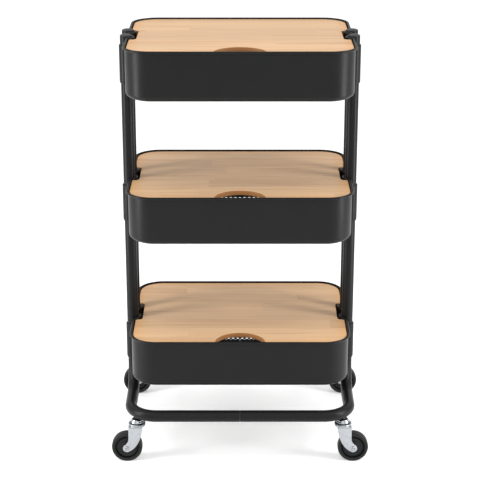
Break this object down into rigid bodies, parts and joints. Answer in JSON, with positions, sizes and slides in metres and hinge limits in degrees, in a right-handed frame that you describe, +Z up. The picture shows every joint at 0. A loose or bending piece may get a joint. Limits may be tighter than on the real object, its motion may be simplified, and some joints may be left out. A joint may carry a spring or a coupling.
{
  "type": "rolling tray cart",
  "caption": "Rolling tray cart: bent tube frame, stacked sheet-steel trays with mesh floors and drop-in wooden lids, clamp brackets and swivel casters.",
  "frame": {"origin": "on the floor under the middle of the cart", "axes": "+Z up, the front faces -Y, the short tube-carrying sides face +X and -X"},
  "size_m": [0.478, 0.3546, 0.7803],
  "materials": {
    "frame_tube": "satin",
    "tube_cap": "satin",
    "joiner": "satin",
    "tray_sheet": "satin",
    "mesh_floor": "satin",
    "lid_wood": "satin lacquer",
    "clamp": "satin",
    "screw": "satin",
    "caster_socket": "satin",
    "caster_zinc": "bright zinc plate",
    "axle_steel": "satin",
    "wheel_core": "matte",
    "wheel_tyre": "matte"
  },
  "bodies": {
    "frame": {"frame_tube_front_left": "frame_tube", "tube_cap_front_left": "tube_cap", "frame_tube_front_right": "frame_tube", "tube_cap_front_right": "tube_cap", "base_joiner_front": "joiner", "frame_tube_rear_left": "frame_tube", "tube_cap_rear_left": "tube_cap", "frame_tube_rear_right": "frame_tube", "tube_cap_rear_right": "tube_cap", "base_joiner_rear": "joiner", "tray_upper": "tray_sheet", "mesh_floor_upper": "mesh_floor", "clamp_upper_left": "clamp", "clamp_screw_upper_left": "screw", "clamp_upper_right": "clamp", "clamp_screw_upper_right": "screw", "tray_middle": "tray_sheet", "mesh_floor_middle": "mesh_floor", "clamp_middle_left": "clamp", "clamp_screw_middle_left": "screw", "clamp_middle_right": "clamp", "clamp_screw_middle_right": "screw", "tray_lower": "tray_sheet", "mesh_floor_lower": "mesh_floor", "clamp_lower_left": "clamp", "clamp_screw_lower_left": "screw", "clamp_lower_right": "clamp", "clamp_screw_lower_right": "screw", "caster_socket_front_left": "caster_socket", "caster_stem_front_left": "caster_zinc", "caster_socket_front_right": "caster_socket", "caster_stem_front_right": "caster_zinc", "caster_socket_rear_left": "caster_socket", "caster_stem_rear_left": "caster_zinc", "caster_socket_rear_right": "caster_socket", "caster_stem_rear_right": "caster_zinc"},
    "lid_upper": {"lid_upper": "lid_wood"},
    "lid_middle": {"lid_middle": "lid_wood"},
    "lid_lower": {"lid_lower": "lid_wood"},
    "caster_front_left": {"caster_fork_front_left": "caster_zinc", "caster_axle_front_left": "axle_steel"},
    "wheel_front_left": {"wheel_core_front_left": "wheel_core", "wheel_tyre_front_left": "wheel_tyre"},
    "caster_front_right": {"caster_fork_front_right": "caster_zinc", "caster_axle_front_right": "axle_steel"},
    "wheel_front_right": {"wheel_core_front_right": "wheel_core", "wheel_tyre_front_right": "wheel_tyre"},
    "caster_rear_left": {"caster_fork_rear_left": "caster_zinc", "caster_axle_rear_left": "axle_steel"},
    "wheel_rear_left": {"wheel_core_rear_left": "wheel_core", "wheel_tyre_rear_left": "wheel_tyre"},
    "caster_rear_right": {"caster_fork_rear_right": "caster_zinc", "caster_axle_rear_right": "axle_steel"},
    "wheel_rear_right": {"wheel_core_rear_right": "wheel_core", "wheel_tyre_rear_right": "wheel_tyre"}
  },
  "joints": [
    {"name": "lid_lift_upper", "type": "slide", "parent": "frame", "child": "lid_upper", "axis": [0, 0, 1], "range_m": [0, 0.12]},
    {"name": "lid_lift_middle", "type": "slide", "parent": "frame", "child": "lid_middle", "axis": [0, 0, 1], "range_m": [0, 0.12]},
    {"name": "lid_lift_lower", "type": "slide", "parent": "frame", "child": "lid_lower", "axis": [0, 0, 1], "range_m": [0, 0.12]},
    {"name": "swivel_front_left", "type": "hinge", "parent": "frame", "child": "caster_front_left", "pos_m": [-0.19134, -0.1493, 0.07], "axis": [0, 0, 1], "continuous": true},
    {"name": "roll_front_left", "type": "hinge", "parent": "caster_front_left", "child": "wheel_front_left", "pos_m": [-0.21053, -0.1493, 0.0285], "axis": [0, 1, 0], "continuous": true},
    {"name": "swivel_front_right", "type": "hinge", "parent": "frame", "child": "caster_front_right", "pos_m": [0.19134, -0.1493, 0.07], "axis": [0, 0, 1], "continuous": true},
    {"name": "roll_front_right", "type": "hinge", "parent": "caster_front_right", "child": "wheel_front_right", "pos_m": [0.21053, -0.1493, 0.0285], "axis": [0, 1, 0], "continuous": true},
    {"name": "swivel_rear_left", "type": "hinge", "parent": "frame", "child": "caster_rear_left", "pos_m": [-0.19134, 0.1493, 0.07], "axis": [0, 0, 1], "continuous": true},
    {"name": "roll_rear_left", "type": "hinge", "parent": "caster_rear_left", "child": "wheel_rear_left", "pos_m": [-0.21053, 0.1493, 0.0285], "axis": [0, 1, 0], "continuous": true},
    {"name": "swivel_rear_right", "type": "hinge", "parent": "frame", "child": "caster_rear_right", "pos_m": [0.19134, 0.1493, 0.07], "axis": [0, 0, 1], "continuous": true},
    {"name": "roll_rear_right", "type": "hinge", "parent": "caster_rear_right", "child": "wheel_rear_right", "pos_m": [0.21053, 0.1493, 0.0285], "axis": [0, 1, 0], "continuous": true}
  ]
}
